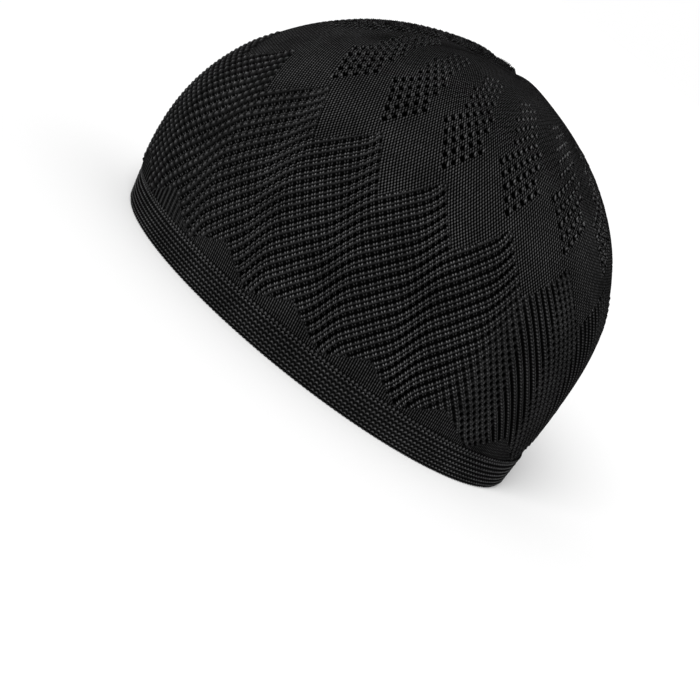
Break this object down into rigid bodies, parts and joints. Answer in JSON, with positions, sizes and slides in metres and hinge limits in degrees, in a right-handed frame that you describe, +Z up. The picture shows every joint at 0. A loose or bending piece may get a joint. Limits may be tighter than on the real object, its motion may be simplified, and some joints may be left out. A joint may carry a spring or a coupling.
{
  "type": "knitted prayer cap",
  "caption": "Deep rounded knitted skullcap with slanted ribs in a saw-toothed zone, lace kites above them and a narrow double band round an open rim.",
  "frame": {"origin": "middle of the rim plane, on the surface that the cap stands on", "axes": "+Z up out of the crown, -Y to the front of the head, +X to the wearer's left"},
  "size_m": [0.1676, 0.2029, 0.1341],
  "materials": {
    "crown_knit": "matte black knitted yarn with soft grey lights on the stitch heads",
    "band_knit": "matte black double knit"
  },
  "bodies": {
    "root": {"crown": "crown_knit", "band": "band_knit", "linking_seam": "band_knit"}
  },
  "joints": []
}
